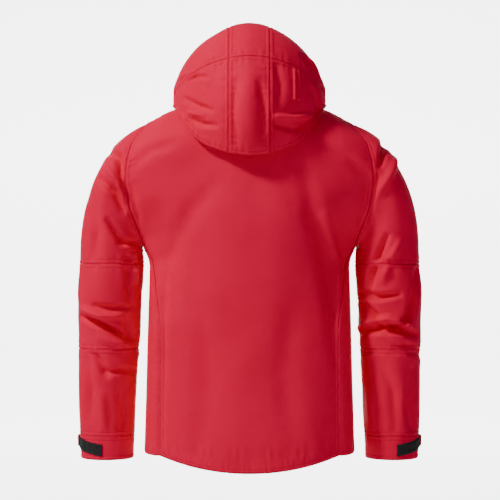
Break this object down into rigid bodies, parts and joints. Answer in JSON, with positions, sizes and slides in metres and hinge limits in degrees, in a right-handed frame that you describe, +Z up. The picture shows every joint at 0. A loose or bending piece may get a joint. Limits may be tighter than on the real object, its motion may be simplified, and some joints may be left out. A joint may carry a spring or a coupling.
{
  "type": "hooded hardshell jacket",
  "caption": "Red hooded waterproof hardshell jacket with front zip, two zipped hand pockets and hook-and-loop cuff tabs, worn shape with the hood up.",
  "frame": {"origin": "underside of the hang loop at the back of the neck, inside the collar", "axes": "+Z up from hem to hood, +X to the wearer's left, -Y out of the zip side"},
  "size_m": [0.7086, 0.3475, 0.901],
  "materials": {
    "shell_fabric": "matt",
    "lining_fabric": "matt",
    "hook_and_loop": "matt",
    "woven_tape": "matt",
    "zip_tape": "satin",
    "black_plastic": "satin",
    "dark_metal": "satin"
  },
  "bodies": {
    "jacket_body": {"back_panel": "shell_fabric", "left_front_panel": "shell_fabric", "right_front_panel": "shell_fabric", "left_side_panel": "shell_fabric", "right_side_panel": "shell_fabric", "hem_facing": "lining_fabric", "collar": "shell_fabric", "collar_lining": "lining_fabric", "hang_loop": "woven_tape", "left_zip_tape": "zip_tape", "right_zip_tape": "zip_tape", "left_zip_coil": "black_plastic", "right_zip_coil": "black_plastic", "zip_bottom_box": "dark_metal", "zip_garage": "shell_fabric", "storm_flap": "lining_fabric", "left_pocket_zip": "zip_tape", "right_pocket_zip": "zip_tape", "left_pocket_bag": "lining_fabric", "right_pocket_bag": "lining_fabric", "left_hem_lock": "black_plastic", "right_hem_lock": "black_plastic", "hood_centre_nape": "shell_fabric", "hood_left_nape": "shell_fabric", "hood_right_nape": "shell_fabric", "hood_adjuster_casing": "shell_fabric", "hood_neck_band": "shell_fabric"},
    "hood": {"hood_centre_crown": "shell_fabric", "hood_left_crown": "shell_fabric", "hood_right_crown": "shell_fabric", "hood_brim": "shell_fabric"},
    "front_slider": {"zip_slider": "dark_metal"},
    "front_pull": {"zip_pull": "black_plastic"},
    "left_sleeve": {"left_sleeve_head": "shell_fabric", "left_upper_sleeve": "shell_fabric", "left_elbow_panel": "shell_fabric"},
    "left_lower_sleeve": {"left_forearm": "shell_fabric", "left_cuff": "shell_fabric", "left_cuff_loop_patch": "hook_and_loop"},
    "left_tab": {"left_cuff_tab": "shell_fabric", "left_cuff_hook": "hook_and_loop"},
    "left_pocket_slider_body": {"left_pocket_slider": "dark_metal"},
    "left_pocket_pull_body": {"left_pocket_pull": "black_plastic"},
    "left_lock_button": {"left_hem_lock_button": "black_plastic"},
    "right_sleeve": {"right_sleeve_head": "shell_fabric", "right_upper_sleeve": "shell_fabric", "right_elbow_panel": "shell_fabric"},
    "right_lower_sleeve": {"right_forearm": "shell_fabric", "right_cuff": "shell_fabric", "right_cuff_loop_patch": "hook_and_loop"},
    "right_tab": {"right_cuff_tab": "shell_fabric", "right_cuff_hook": "hook_and_loop"},
    "right_pocket_slider_body": {"right_pocket_slider": "dark_metal"},
    "right_pocket_pull_body": {"right_pocket_pull": "black_plastic"},
    "right_lock_button": {"right_hem_lock_button": "black_plastic"}
  },
  "joints": [
    {"name": "hood_tilt", "type": "hinge", "parent": "jacket_body", "child": "hood", "pos_m": [0, -0.04, 0.016], "axis": [-1, 0, 0], "range_deg": [0, 35], "deforming": ["hood_centre_nape", "hood_left_nape", "hood_right_nape", "hood_neck_band", "hood_adjuster_casing"]},
    {"name": "front_zip", "type": "slide", "parent": "jacket_body", "child": "front_slider", "axis": [0, -0.0512, -0.9987], "range_m": [0, 0.68]},
    {"name": "front_zip_pull", "type": "hinge", "parent": "front_slider", "child": "front_pull", "pos_m": [0, -0.14851, 0.01925], "axis": [-1, 0, 0], "range_deg": [0, 150]},
    {"name": "left_shoulder", "type": "hinge", "parent": "jacket_body", "child": "left_sleeve", "pos_m": [0.222, -0.05, -0.262], "axis": [0, -1, 0], "range_deg": [0, 40], "deforming": ["left_sleeve_head"]},
    {"name": "left_elbow", "type": "hinge", "parent": "left_sleeve", "child": "left_lower_sleeve", "pos_m": [0.288, -0.05, -0.392], "axis": [-1, 0, 0], "range_deg": [0, 60], "deforming": ["left_elbow_panel"]},
    {"name": "left_cuff_tab_peel", "type": "hinge", "parent": "left_lower_sleeve", "child": "left_tab", "pos_m": [0.30821, -0.12442, -0.67], "axis": [0, 0, -1], "range_deg": [0, 110]},
    {"name": "left_pocket_zip_slide", "type": "slide", "parent": "jacket_body", "child": "left_pocket_slider_body", "axis": [0, -0.0384, -0.9993], "range_m": [0, 0.138]},
    {"name": "left_pocket_pull_swing", "type": "hinge", "parent": "left_pocket_slider_body", "child": "left_pocket_pull_body", "pos_m": [0.11986, -0.16097, -0.45481], "axis": [-0.9578, -0.2871, 0.011], "range_deg": [0, 150]},
    {"name": "left_lock_press", "type": "slide", "parent": "jacket_body", "child": "left_lock_button", "axis": [0, -0.0384, -0.9993], "range_m": [0, 0.004], "stiffness_N_per_m": 150, "springref_m": -0.003},
    {"name": "right_shoulder", "type": "hinge", "parent": "jacket_body", "child": "right_sleeve", "pos_m": [-0.222, -0.05, -0.262], "axis": [0, 1, 0], "range_deg": [0, 40], "deforming": ["right_sleeve_head"]},
    {"name": "right_elbow", "type": "hinge", "parent": "right_sleeve", "child": "right_lower_sleeve", "pos_m": [-0.288, -0.05, -0.392], "axis": [-1, 0, 0], "range_deg": [0, 60], "deforming": ["right_elbow_panel"]},
    {"name": "right_cuff_tab_peel", "type": "hinge", "parent": "right_lower_sleeve", "child": "right_tab", "pos_m": [-0.30821, -0.12442, -0.67], "axis": [0, 0, 1], "range_deg": [0, 110]},
    {"name": "right_pocket_zip_slide", "type": "slide", "parent": "jacket_body", "child": "right_pocket_slider_body", "axis": [0, -0.0384, -0.9993], "range_m": [0, 0.138]},
    {"name": "right_pocket_pull_swing", "type": "hinge", "parent": "right_pocket_slider_body", "child": "right_pocket_pull_body", "pos_m": [-0.11986, -0.16097, -0.45481], "axis": [-0.9578, 0.2871, -0.011], "range_deg": [0, 150]},
    {"name": "right_lock_press", "type": "slide", "parent": "jacket_body", "child": "right_lock_button", "axis": [0, -0.0384, -0.9993], "range_m": [0, 0.004], "stiffness_N_per_m": 150, "springref_m": -0.003}
  ]
}
